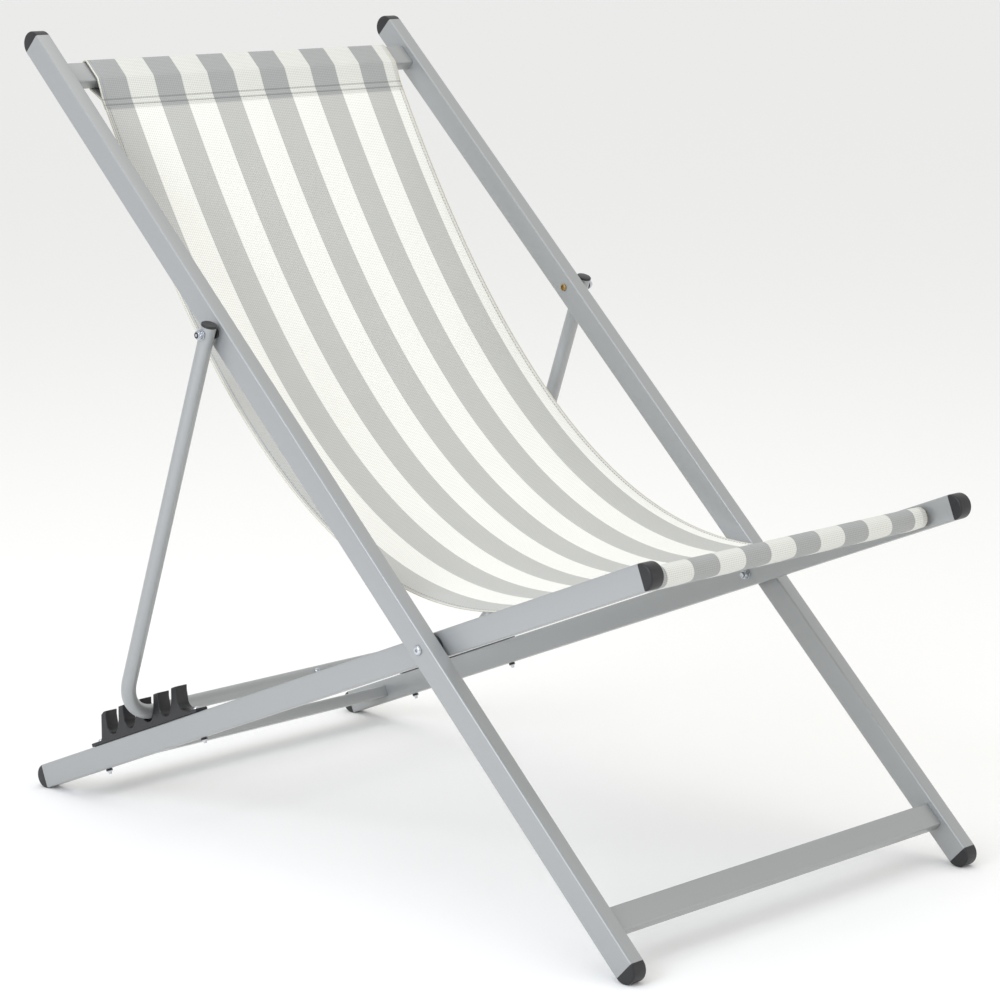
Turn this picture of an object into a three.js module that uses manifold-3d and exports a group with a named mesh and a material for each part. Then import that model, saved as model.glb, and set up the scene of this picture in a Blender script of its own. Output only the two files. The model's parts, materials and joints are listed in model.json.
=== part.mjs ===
// Folding deck chair: two crossing tube frames on a pivot, a bent-tube prop whose bar
// rests in toothed racks, and a fabric sling hung between two crossbars.
// Millimetres, +Z up. The sitter faces -Y. "left" is -X and "right" is +X.
import * as THREE from "three";
import { mergeVertices } from "three/addons/utils/BufferGeometryUtils.js";
import Module from "manifold-3d";

const wasm = await Module();
wasm.setup();

// ---- driving dimensions ----
const gap = 0.3; // left between pieces that touch
const wall = 1.5; // of every rectangular tube
const tubeCorner = 2; // outside corner radius of every rectangular tube
const cornerSteps = 3; // facets round a tube's corner
const roundSides = 16; // sides of a round piece

const overallWidth = 592; // across the outer faces of the back rails
const railWidth = 20; // rail tube, along X
const railDepth = 30; // rail tube, across its length
const railGap = 5.6; // between a back rail and the seat rail beside it

const backAbovePivot = 906; // back rail, from the pivot to its top end
const backBelowPivot = 422.5; // back rail, from the pivot to its foot
const seatFrontOfPivot = 326.5; // seat rail, from the pivot to its front end
const seatBehindPivot = 760.5; // seat rail, from the pivot to its rear end

const barWidth = 30; // crossbar tube, along the rails
const barThickness = 15; // crossbar tube, across the rails
const topBarFromEnd = 54; // centre of the top bar, from the top end
const bottomBarFromEnd = 55; // centre of the bottom bar, from the foot
const frontBarFromEnd = 50.5; // centre of the sling's front bar, from the front end
const rearBarFromEnd = 62.5; // centre of the seat frame's rear bar, from the rear end

const propPivot = 455; // from the main pivot, up the back rail
const propLength = 510.5; // from the prop's pivot to the middle of its bar
const propRadius = 9;
const propWall = 1.4;
const propBend = 52; // radius of the bend, to the tube's middle
const propTip = 10; // tube above its pivot
const propSpacerThickness = 3.5; // between the back rail and the prop
const propSeam = 22; // where the two halves meet, from the middle
const connectorLength = 120;
const propCap = { thickness: 2.6, lip: 0.3, edge: 1, taper: 1, plug: 5 };

const notchFromEnd = 234; // resting notch, from the seat rail's rear end
const notchPitch = 36.3;
const notchCount = 4;
const notchInUse = 3; // counted from the rear
const notchClearance = 1.2; // round the bar, at the bottom of a notch
const notchDrop = 1.4; // middle of a notch's round bottom, under the bar's
const notchOpening = 2.1; // more room on each side between the teeth
const notchFlare = 8; // height over which a notch opens to its full width
const barAboveRail = 19.3; // middle of the prop's bar over the seat rail
const toothTop = 37.5; // over the seat rail
const rearToothWidth = 9;
const toothChamfer = 2; // on the rearmost tooth
const rackWidth = 18;
const rackFlange = 4.5;
const rackHeadRoom = 1; // flat round a bolt's head
const rackBevel = 0.8;
const rackBoltToEnd = 10;
const rackRearBoltBehind = 19.6; // rear bolt, behind the rearmost tooth
const rackFrontBoltAhead = 9.9; // front bolt, ahead of the middle of the open front end

const capBevel = 1.2;
const capPlugDepth = 18;
const capPlugCorner = 1.2;
const footFlat = 0.4; // worn flat under each floor cap, depth

const pivotBoltRadius = 3;
const rackBoltRadius = 2;
const boltClearance = 0.3;
const pivotHead = { radius: 5.6, height: 3.2 };
const propHead = { radius: 4.6, height: 1.8 };
const rackHead = { radius: 4, height: 2.4 };
const pivotNut = { acrossFlats: 10, height: 5 };
const rackNut = { acrossFlats: 7, height: 4.4 };
const washer = { radius: 6.4, thickness: 1.2 };
const spacerRadius = 13;
const propSpacerRadius = 6.5;
const stud = 2.5; // bolt past its nut
const screwTilt = 60; // degrees from upright, towards the front
const screwLength = 9;

const slingSideGap = 7.4; // between the sling and the seat rails
const slingThickness = 2.4;
const slingTopHandle = 142.5; // pull of the curve at the top bar
const slingTopTurn = 16.3; // degrees steeper than the back rails
const slingFrontHandle = 568; // pull of the curve at the front bar
const slingFrontTurn = 8.4; // degrees steeper than the seat rails
const slingStart = 1; // curve starts below the top bar's middle
const slingEnd = 4; // curve ends behind the front bar's middle
const sleeveLoose = 1.1; // between the sleeves and their bars
const sleeveRoom = 12; // the front sleeve's width over its bar's
const sleeveFullness = 10.5; // the front sleeve's height over its bar's
const sleeveCorner = 8;
const seamBelowBar = 42; // stitched seam, from the top bar's middle
const seamBehindBar = 27; // stitched seam, from the front bar's middle
const seamUnderTop = 3; // the same seam, below the sleeve's top
const seamRadius = 0.8;

// ---- sizes that follow from those ----
const notchFromPivot = seatBehindPivot - notchFromEnd;
const notchRadius = propRadius + notchClearance;
const notchHalfWidth = notchRadius + notchOpening;
const rackRearBolt =
  notchFromPivot +
  (notchInUse - 1) * notchPitch +
  notchHalfWidth +
  rearToothWidth +
  rackRearBoltBehind;
const rackFrontBolt =
  notchFromPivot + (notchInUse - notchCount - 1) * notchPitch - rackFrontBoltAhead;
const slingWidth = overallWidth - 2 * (2 * railWidth + railGap + slingSideGap);
const frontSleeve = {
  width: barWidth + sleeveRoom,
  height: barThickness + sleeveFullness,
  corner: sleeveCorner,
};

// ---- pose, from the triangle of pivot, prop pivot and notch ----
const degree = Math.PI / 180;
const notchRise = railDepth / 2 + barAboveRail;
const notchReach = Math.hypot(notchFromPivot, notchRise);
const wedge =
  Math.acos(
    (propPivot ** 2 + notchReach ** 2 - propLength ** 2) / (2 * propPivot * notchReach),
  ) + Math.atan2(notchRise, notchFromPivot);
const frontReach = backBelowPivot + gap;
const rearReach = seatBehindPivot + gap;
const seatTilt = Math.atan2(
  frontReach * Math.sin(wedge),
  rearReach + frontReach * Math.cos(wedge),
);
const backTilt = wedge - seatTilt;
const capRadius = railDepth / 2;
const floorZ = -rearReach * Math.sin(seatTilt) - capRadius + footFlat;

const backRailX = (overallWidth - railWidth) / 2;
const seatRailX = backRailX - railWidth - railGap;
const propX = overallWidth / 2 + propSpacerThickness + propRadius;
const sides = [
  { name: "left", sign: -1 },
  { name: "right", sign: 1 },
];

// ---- materials ----
const metal = (color, roughness) =>
  new THREE.MeshStandardMaterial({ color, roughness, metalness: 0.6 });
const plastic = (color) =>
  new THREE.MeshStandardMaterial({ color, roughness: 0.55, metalness: 0 });
const frameFinish = metal(0xb4b6b8, 0.45);
const zinc = metal(0xc9ccd0, 0.3);
const yellowZinc = metal(0xb89a5a, 0.35);
const blackPlastic = plastic(0x323234);
const fabric = new THREE.MeshStandardMaterial({ color: 0xd8d8d3, roughness: 0.9 });

// ---- shapes and placing ----
function roundedRect(width, height, radius, x = 0, y = 0) {
  const [w, h] = [width / 2 - radius, height / 2 - radius];
  const shape = new THREE.Shape();
  shape.absarc(x + w, y - h, radius, -Math.PI / 2, 0);
  shape.absarc(x + w, y + h, radius, 0, Math.PI / 2);
  shape.absarc(x - w, y + h, radius, Math.PI / 2, Math.PI);
  shape.absarc(x - w, y - h, radius, Math.PI, 1.5 * Math.PI);
  return shape;
}

function tubeShape(width, height) {
  const shape = roundedRect(width, height, tubeCorner);
  const inner = Math.max(tubeCorner - wall, 0.5);
  shape.holes.push(roundedRect(width - 2 * wall, height - 2 * wall, inner));
  return shape;
}

function circle(radius, x = 0, y = 0) {
  return new THREE.Shape().absarc(x, y, radius, 0, 2 * Math.PI);
}

// shape drawn in (Y, Z), carried along X from x0 to x1
function alongX(shape, x0, x1, options = {}) {
  const bevel = options.bevelThickness ?? 0;
  const geometry = new THREE.ExtrudeGeometry(shape, {
    depth: x1 - x0 - 2 * bevel,
    bevelEnabled: bevel > 0,
    curveSegments: cornerSteps,
    ...options,
  });
  geometry.translate(0, 0, x0 + bevel);
  const basis = new THREE.Matrix4().makeBasis(
    new THREE.Vector3(0, 1, 0),
    new THREE.Vector3(0, 0, 1),
    new THREE.Vector3(1, 0, 0),
  );
  return geometry.applyMatrix4(basis);
}

// shape drawn in (Z, X), carried along Y from y0 to y1
function alongY(shape, y0, y1) {
  const options = { depth: y1 - y0, bevelEnabled: false, curveSegments: cornerSteps };
  const geometry = new THREE.ExtrudeGeometry(shape, options);
  geometry.translate(0, 0, y0);
  const basis = new THREE.Matrix4().makeBasis(
    new THREE.Vector3(0, 0, 1),
    new THREE.Vector3(1, 0, 0),
    new THREE.Vector3(0, 1, 0),
  );
  return geometry.applyMatrix4(basis);
}

// round piece turned about X; profile is [[along X, radius], ...] from axis to axis
function turned(profile) {
  const points = profile.map(([x, radius]) => new THREE.Vector2(radius, x));
  return new THREE.LatheGeometry(points, roundSides).rotateZ(-Math.PI / 2);
}

function rod(radius, x0, x1) {
  return turned([[x0, 0], [x0, radius], [x1, radius], [x1, 0]]);
}

// ---- joins and cuts ----
function toSolid(geometry) {
  const bare = geometry.clone();
  for (const name of Object.keys(bare.attributes)) {
    if (name !== "position") bare.deleteAttribute(name);
  }
  const merged = mergeVertices(bare, 1e-4);
  const mesh = new wasm.Mesh({
    numProp: 3,
    vertProperties: new Float32Array(merged.attributes.position.array),
    triVerts: new Uint32Array(merged.index.array),
  });
  mesh.merge();
  return new wasm.Manifold(mesh);
}

function toGeometry(solid) {
  const mesh = solid.getMesh();
  const geometry = new THREE.BufferGeometry();
  geometry.setAttribute("position", new THREE.BufferAttribute(mesh.vertProperties, 3));
  geometry.setIndex(new THREE.BufferAttribute(mesh.triVerts, 1));
  return geometry;
}

function join(geometry, ...others) {
  const add = (solid, other) => solid.add(toSolid(other));
  return toGeometry(others.reduce(add, toSolid(geometry)));
}

function cut(geometry, ...tools) {
  const take = (solid, tool) => solid.subtract(toSolid(tool));
  return toGeometry(tools.reduce(take, toSolid(geometry)));
}

function add(parent, name, geometry, material) {
  const mesh = new THREE.Mesh(geometry, material);
  mesh.name = name;
  parent.add(mesh);
  return mesh;
}

const chair = new THREE.Group();
const backFrame = new THREE.Group(); // local Y runs up the back rails
const seatFrame = new THREE.Group(); // local Y runs back along the seat rails
const prop = new THREE.Group(); // local Y runs down the legs, origin on its pivot
backFrame.rotation.x = backTilt;
seatFrame.rotation.x = -seatTilt;
chair.add(backFrame, seatFrame, prop);

// ---- rails and crossbars ----
function rail(x, y0, y1, pinHoles, boltHoles = []) {
  const tube = alongY(tubeShape(railDepth, railWidth), y0, y1).translate(x, 0, 0);
  const reach = railWidth;
  const pins = pinHoles.map((y) =>
    rod(pivotBoltRadius + boltClearance, x - reach, x + reach).translate(0, y, 0),
  );
  const bolts = boltHoles.map((y) =>
    rod(rackBoltRadius + boltClearance, -railDepth, railDepth)
      .rotateY(Math.PI / 2)
      .translate(x, y, 0),
  );
  return cut(tube, ...pins, ...bolts);
}

function crossbar(reach, y) {
  return alongX(tubeShape(barWidth, barThickness), -reach, reach).translate(0, y, 0);
}

const topBarY = backAbovePivot - topBarFromEnd;
const bottomBarY = -(backBelowPivot - bottomBarFromEnd);
const frontBarY = -(seatFrontOfPivot - frontBarFromEnd);
const rearBarY = seatBehindPivot - rearBarFromEnd;

for (const { name, sign } of sides) {
  const backRail = rail(sign * backRailX, -backBelowPivot, backAbovePivot, [0, propPivot]);
  add(backFrame, `back_rail_${name}`, backRail, frameFinish);
  const rackHoles = [rackRearBolt, rackFrontBolt];
  const seatRail = rail(
    sign * seatRailX, -seatFrontOfPivot, seatBehindPivot, [0], rackHoles,
  );
  add(seatFrame, `seat_rail_${name}`, seatRail, frameFinish);
}
const backBarReach = backRailX - railWidth / 2 - gap;
const seatBarReach = seatRailX - railWidth / 2 - gap;
add(backFrame, "top_crossbar", crossbar(backBarReach, topBarY), frameFinish);
add(backFrame, "bottom_crossbar", crossbar(backBarReach, bottomBarY), frameFinish);
add(seatFrame, "sling_front_bar", crossbar(seatBarReach, frontBarY), frameFinish);
add(seatFrame, "seat_rear_crossbar", crossbar(seatBarReach, rearBarY), frameFinish);

// ---- half-round end caps ----
// A half round as wide as the tube, on a plug that is pushed into it.
function endCap(x, end, direction) {
  const radius = capRadius - capBevel;
  const half = new THREE.Shape();
  half.absarc(gap + capBevel, 0, radius, -Math.PI / 2, Math.PI / 2);
  const dome = alongX(half, -railWidth / 2, railWidth / 2, {
    bevelThickness: capBevel,
    bevelSize: capBevel,
    bevelSegments: 2,
    curveSegments: 12,
  });
  const plugSize = [railDepth, railWidth].map((size) => size - 2 * (wall + gap));
  const plug = alongY(roundedRect(...plugSize, capPlugCorner), -capPlugDepth, 2 * capBevel);
  const cap = join(dome, plug);
  if (direction < 0) cap.rotateZ(Math.PI);
  return cap.translate(x, end, 0);
}

// everything under the floor, in the frame of a group tilted by this angle
function underFloor(tilt) {
  const size = 4 * (backAbovePivot + seatBehindPivot);
  return new THREE.BoxGeometry(size, size, size)
    .translate(0, 0, floorZ - size / 2)
    .rotateX(-tilt);
}

for (const { name, sign } of sides) {
  const [backX, seatX] = [sign * backRailX, sign * seatRailX];
  const caps = [
    [backFrame, `back_top_cap_${name}`, endCap(backX, backAbovePivot, 1)],
    [seatFrame, `seat_front_cap_${name}`, endCap(seatX, -seatFrontOfPivot, -1)],
    [backFrame, `foot_cap_${name}`,
      cut(endCap(backX, -backBelowPivot, -1), underFloor(backTilt))],
    [seatFrame, `seat_rear_cap_${name}`,
      cut(endCap(seatX, seatBehindPivot, 1), underFloor(-seatTilt))],
  ];
  for (const [parent, capName, geometry] of caps) {
    add(parent, capName, geometry, blackPlastic);
  }
}

// ---- toothed racks ----
// Drawn in the seat rail's own (Y, Z); the teeth and notches stand upright in the world.
const [sinTilt, cosTilt] = [Math.sin(seatTilt), Math.cos(seatTilt)];
const railTop = railDepth / 2 + gap;

// a point given level and upright from the middle of a notch
function fromNotch(index, back, up) {
  const y = notchFromPivot + (notchInUse - index) * notchPitch;
  return [y + back * cosTilt - up * sinTilt, notchRise + back * sinTilt + up * cosTilt];
}

// height over a notch's middle at which an upright wall meets the line of tooth tops
function upToTop(back) {
  return (railDepth / 2 + toothTop - notchRise - back * sinTilt) / cosTilt;
}

function rackShape() {
  const shape = new THREE.Shape();
  const rear = rackRearBolt + rackBoltToEnd;
  const front = rackFrontBolt - rackBoltToEnd;
  const flangeTop = railTop + rackFlange;
  const rearWall = notchHalfWidth + rearToothWidth;
  const toothMiddle = notchHalfWidth + rearToothWidth / 2;
  shape.moveTo(rear, railTop);
  shape.lineTo(rear, flangeTop);
  const wallDown = (flangeTop - notchRise - rearWall * sinTilt) / cosTilt;
  const root = fromNotch(1, rearWall, wallDown);
  shape.lineTo(root[0] + rackFlange, flangeTop);
  shape.quadraticCurveTo(...root, ...fromNotch(1, rearWall, wallDown + rackFlange));
  shape.lineTo(...fromNotch(1, rearWall, upToTop(rearWall) - toothChamfer));
  shape.lineTo(...fromNotch(1, toothMiddle, upToTop(toothMiddle)));
  for (let index = 1; index <= notchCount + 1; index += 1) {
    shape.lineTo(...fromNotch(index, notchHalfWidth, upToTop(notchHalfWidth)));
    shape.lineTo(...fromNotch(index, notchHalfWidth, notchFlare));
    const centre = fromNotch(index, 0, -notchDrop);
    const last = index > notchCount;
    const endAngle = last ? -Math.PI / 2 : -Math.PI;
    shape.absarc(...centre, notchRadius, seatTilt, seatTilt + endAngle, true);
    if (!last) {
      shape.lineTo(...fromNotch(index, -notchHalfWidth, notchFlare));
      shape.lineTo(...fromNotch(index, -notchHalfWidth, upToTop(-notchHalfWidth)));
    }
  }
  shape.lineTo(rackFrontBolt + rackHead.radius + rackHeadRoom, flangeTop);
  shape.lineTo(front, flangeTop);
  shape.lineTo(front, railTop);
  shape.closePath();
  return shape;
}

function rack(x) {
  const half = rackWidth / 2;
  const bevel = { bevelThickness: rackBevel, bevelSize: rackBevel, bevelOffset: -rackBevel };
  const options = { ...bevel, bevelSegments: 1, curveSegments: 6 };
  const body = alongX(rackShape(), x - half, x + half, options);
  const holes = [rackRearBolt, rackFrontBolt].map((y) =>
    rod(rackBoltRadius + boltClearance, -toothTop * 2, toothTop * 2)
      .rotateY(Math.PI / 2)
      .translate(x, y, 0),
  );
  return cut(body, ...holes);
}

// ---- fasteners ----
// Dome-headed bolt along X, head at x = 0 facing -X, shank towards +X.
function bolt(head, radius, length) {
  const dome = [];
  for (let step = 0; step <= cornerSteps; step += 1) {
    const angle = (step / cornerSteps) * (Math.PI / 2);
    dome.push([-head.height * Math.cos(angle) - gap, head.radius * Math.sin(angle)]);
  }
  return turned([...dome, [-gap, radius], [length, radius], [length, 0]]);
}

function nut(size, boltRadius, x0) {
  const hexagon = new THREE.Shape();
  for (let corner = 0; corner < 6; corner += 1) {
    const angle = (corner * Math.PI) / 3;
    const reach = size.acrossFlats / Math.sqrt(3);
    const point = [reach * Math.cos(angle), reach * Math.sin(angle)];
    if (corner) hexagon.lineTo(...point);
    else hexagon.moveTo(...point);
  }
  hexagon.closePath();
  hexagon.holes.push(circle(boltRadius + boltClearance));
  return alongX(hexagon, x0, x0 + size.height, { curveSegments: roundSides / 2 });
}

function ring(radius, boltRadius, x0, x1) {
  const shape = circle(radius);
  shape.holes.push(circle(boltRadius + boltClearance));
  return alongX(shape, x0, x1, { curveSegments: roundSides / 2 });
}

for (const { name, sign } of sides) {
  const rackX = sign * seatRailX;
  add(seatFrame, `notch_rack_${name}`, rack(rackX), blackPlastic);
  const flangeTop = railTop + rackFlange;
  const length = flangeTop + railTop + rackNut.height + stud;
  for (const [end, y] of [["rear", rackRearBolt], ["front", rackFrontBolt]]) {
    const stem = bolt(rackHead, rackBoltRadius, length).rotateY(Math.PI / 2);
    stem.translate(rackX, y, flangeTop);
    add(seatFrame, `rack_bolt_${end}_${name}`, stem, zinc);
    const lockNut = nut(rackNut, rackBoltRadius, railTop).rotateY(Math.PI / 2);
    add(seatFrame, `rack_nut_${end}_${name}`, lockNut.translate(rackX, y, 0), zinc);
  }

  // main pivot, from the outside in: head, back rail, spacer, seat rail, washer, nut
  const outer = overallWidth / 2;
  const innerFace = 2 * railWidth + railGap;
  const nutStart = innerFace + 2 * gap + washer.thickness;
  const pivotPieces = [
    ["pivot_bolt", bolt(pivotHead, pivotBoltRadius, nutStart + pivotNut.height + stud), zinc],
    ["pivot_spacer", ring(spacerRadius, pivotBoltRadius, railWidth + gap,
      railWidth + railGap - gap), blackPlastic],
    ["pivot_washer", ring(washer.radius, pivotBoltRadius, innerFace + gap,
      innerFace + gap + washer.thickness), zinc],
    ["pivot_nut", nut(pivotNut, pivotBoltRadius, nutStart), zinc],
  ];
  for (const [piece, geometry, material] of pivotPieces) {
    if (sign > 0) geometry.rotateY(Math.PI);
    geometry.translate(sign * outer, 0, 0);
    add(backFrame, `${piece}_${name}`, geometry, material);
  }

  // prop pivot, from the inside out: head, back rail, spacer, tube, washer, nut
  const tubeStart = railWidth + propSpacerThickness;
  const washerStart = tubeStart + 2 * propRadius + gap;
  const nutFrom = washerStart + washer.thickness + gap;
  const propPieces = [
    ["prop_bolt", bolt(propHead, pivotBoltRadius, nutFrom + pivotNut.height + stud),
      yellowZinc],
    ["prop_spacer", ring(propSpacerRadius, pivotBoltRadius, railWidth + gap,
      tubeStart - gap), blackPlastic],
    ["prop_washer", ring(washer.radius, pivotBoltRadius, washerStart,
      washerStart + washer.thickness), zinc],
    ["prop_nut", nut(pivotNut, pivotBoltRadius, nutFrom), zinc],
  ];
  for (const [piece, geometry, material] of propPieces) {
    if (sign < 0) geometry.rotateY(Math.PI);
    geometry.translate(sign * (outer - railWidth), propPivot, 0);
    add(backFrame, `${piece}_${name}`, geometry, material);
  }
}

// ---- prop: two bent tubes joined in the middle of the bar ----
const propPivotAt = new THREE.Vector2(Math.cos(backTilt), Math.sin(backTilt))
  .multiplyScalar(propPivot);
const notchAt = new THREE.Vector2(
  notchFromPivot * cosTilt + notchRise * sinTilt,
  notchRise * cosTilt - notchFromPivot * sinTilt,
);
const propAngle = notchAt.clone().sub(propPivotAt).angle();
prop.position.set(0, propPivotAt.x, propPivotAt.y);
prop.rotation.x = propAngle;

// Down the leg, round the bend and along the bar; one step for each straight.
class BentLeg extends THREE.Curve {
  constructor(sign, seam, bendSteps) {
    super();
    Object.assign(this, { sign, seam, bendSteps });
  }

  getPoint(t, target = new THREE.Vector3()) {
    const step = t * (this.bendSteps + 2);
    const bendStart = propLength - propBend;
    if (step <= 1) {
      return target.set(this.sign * propX, -propTip + (bendStart + propTip) * step, 0);
    }
    const angle = Math.min((step - 1) / this.bendSteps, 1) * (Math.PI / 2);
    const x = propX - propBend * (1 - Math.cos(angle));
    const past = Math.max(step - 1 - this.bendSteps, 0);
    const bendX = this.sign * x;
    return target.set(
      bendX + (this.seam - bendX) * past,
      bendStart + propBend * Math.sin(angle),
      0,
    );
  }

  getTangent(t, target = new THREE.Vector3()) {
    const step = t * (this.bendSteps + 2);
    const angle = THREE.MathUtils.clamp((step - 1) / this.bendSteps, 0, 1) * (Math.PI / 2);
    return target.set(-this.sign * Math.sin(angle), Math.cos(angle), 0);
  }

  getUtoTmapping(u) {
    return u;
  }
}

const screwTurn = Math.PI / 2 + screwTilt * degree - propAngle; // in the prop's (Y, Z)

// along X to the direction of the middle screw, at the middle of the bar
function towardsScrew(geometry) {
  return geometry.rotateZ(Math.PI / 2).rotateX(screwTurn).translate(0, propLength, 0);
}

const screwHole = towardsScrew(
  rod(rackBoltRadius + boltClearance, propRadius - screwLength, 2 * propRadius),
);

function propHalf(sign) {
  const bendSteps = 8;
  const seam = propSeam + (sign > 0 ? gap : 0);
  const section = circle(propRadius);
  section.holes.push(circle(propRadius - propWall));
  const tube = new THREE.ExtrudeGeometry(section, {
    steps: bendSteps + 2,
    curveSegments: roundSides / 2,
    extrudePath: new BentLeg(sign, seam, bendSteps),
  });
  const reach = 2 * propRadius;
  const pin = rod(pivotBoltRadius + boltClearance, sign * propX - reach, sign * propX + reach);
  const tools = [pin];
  if (sign < 0) tools.push(screwHole);
  return cut(tube, ...tools);
}

for (const { name, sign } of sides) {
  add(prop, `prop_half_${name}`, propHalf(sign), frameFinish);
  const plugRadius = propRadius - propWall - gap;
  const capStart = -propTip - gap;
  const plugEnd = capStart + propCap.plug;
  const capEnd = capStart - propCap.thickness;
  const cap = turned([
    [capEnd, 0],
    [capEnd, propRadius - propCap.taper],
    [capEnd + propCap.edge, propRadius + propCap.lip],
    [capStart, propRadius + propCap.lip],
    [capStart, plugRadius],
    [plugEnd, plugRadius],
    [plugEnd, 0],
  ]);
  cap.rotateZ(Math.PI / 2).translate(sign * propX, 0, 0);
  add(prop, `prop_cap_${name}`, cap, blackPlastic);
}

const connectorRadius = propRadius - propWall - gap;
const connectorStart = propSeam - connectorLength / 2;
const connector = rod(connectorRadius, connectorStart, connectorStart + connectorLength)
  .translate(0, propLength, 0);
add(prop, "prop_connector", cut(connector, screwHole), frameFinish);
const screw = bolt(rackHead, rackBoltRadius, screwLength)
  .rotateY(Math.PI)
  .translate(propRadius + gap, 0, 0);
add(prop, "prop_middle_screw", towardsScrew(screw), zinc);

// ---- sling ----
// World (Y, Z) of a point given along and across a rail.
function onBack(y, z) {
  return new THREE.Vector2(y, z).rotateAround(new THREE.Vector2(), backTilt);
}

function onSeat(y, z) {
  return new THREE.Vector2(y, z).rotateAround(new THREE.Vector2(), -seatTilt);
}

function towards(angle, length) {
  return new THREE.Vector2(Math.cos(angle), Math.sin(angle)).multiplyScalar(length);
}

function convexOutline(points) {
  const cross = (o, a, b) => (a.x - o.x) * (b.y - o.y) - (a.y - o.y) * (b.x - o.x);
  const sorted = [...points].sort((a, b) => a.x - b.x || a.y - b.y);
  const chain = (list) => {
    const kept = [];
    for (const point of list) {
      while (kept.length > 1 && cross(kept.at(-2), kept.at(-1), point) <= 1e-6) kept.pop();
      kept.push(point);
    }
    return kept.slice(0, -1);
  };
  return new THREE.Shape([...chain(sorted), ...chain([...sorted].reverse())]);
}

// A loop of cloth round a bar, running out to a seam where its two layers meet.
function sleeveOutline(loop, place, seam, grow) {
  const box = roundedRect(loop.width + 2 * grow, loop.height + 2 * grow, loop.corner + grow);
  const around = box.getPoints(cornerSteps).map((point) => place(point.x + loop.y, point.y));
  const tip = circle(seamRadius + grow, seam.x, seam.y).getPoints(cornerSteps);
  return convexOutline([...around, ...tip]);
}

const slingHalf = slingThickness / 2;
const topStart = onBack(topBarY - slingStart, barThickness / 2 + sleeveLoose + slingHalf);
const frontEnd = onSeat(frontBarY + slingEnd, frontSleeve.height / 2 - slingHalf);
const slingCurve = new THREE.CubicBezierCurve(
  topStart,
  topStart.clone().add(
    towards(backTilt + Math.PI + slingTopTurn * degree, slingTopHandle),
  ),
  frontEnd.clone().add(
    towards(-seatTilt - slingFrontTurn * degree, slingFrontHandle),
  ),
  frontEnd,
);

function clothStrip(curve, count) {
  const upper = [];
  const lower = [];
  for (let index = 0; index <= count; index += 1) {
    const point = curve.getPoint(index / count);
    const across = curve.getTangent(index / count).multiplyScalar(slingHalf);
    upper.push(new THREE.Vector2(point.x + across.y, point.y - across.x));
    lower.push(new THREE.Vector2(point.x - across.y, point.y + across.x));
  }
  return new THREE.Shape([...upper, ...lower.reverse()]);
}

const topLoop = {
  y: topBarY,
  width: barWidth + 2 * sleeveLoose,
  height: barThickness + 2 * sleeveLoose,
  corner: tubeCorner,
};
const frontLoop = {
  y: frontBarY,
  width: frontSleeve.width - 2 * slingThickness,
  height: frontSleeve.height - 2 * slingThickness,
  corner: frontSleeve.corner,
};
const topSeam = slingCurve.getPointAt(seamBelowBar / slingCurve.getLength());
const frontSeam = onSeat(frontBarY + seamBehindBar, frontSleeve.height / 2 - seamUnderTop);
const slingReach = slingWidth / 2;
const clothX = (shape) => alongX(shape, -slingReach, slingReach, { curveSegments: cornerSteps });
const sling = cut(
  join(
    clothX(clothStrip(slingCurve, 30)),
    clothX(sleeveOutline(topLoop, onBack, topSeam, slingThickness)),
    clothX(sleeveOutline(frontLoop, onSeat, frontSeam, slingThickness)),
  ),
  alongX(sleeveOutline(topLoop, onBack, topSeam, 0), -overallWidth, overallWidth),
  alongX(sleeveOutline(frontLoop, onSeat, frontSeam, 0), -overallWidth, overallWidth),
);
add(chair, "sling", sling, fabric);

// ---- origin at the middle of the floor outline ----
chair.updateMatrixWorld(true);
const bounds = new THREE.Box3().setFromObject(chair, true);
const middle = bounds.getCenter(new THREE.Vector3());
chair.position.set(-middle.x, -middle.y, -bounds.min.z);
chair.updateMatrixWorld(true);

export default chair;
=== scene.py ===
"""Folding deck chair: painted tube frames, toothed racks, a bent prop and a striped sling.

Metres, +Z up, the sitter faces -Y. Pieces are placed by the chair's solid parts.
"""

import json
import math

import bmesh
import bpy
import numpy as np
from mathutils import Matrix, Vector


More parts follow.
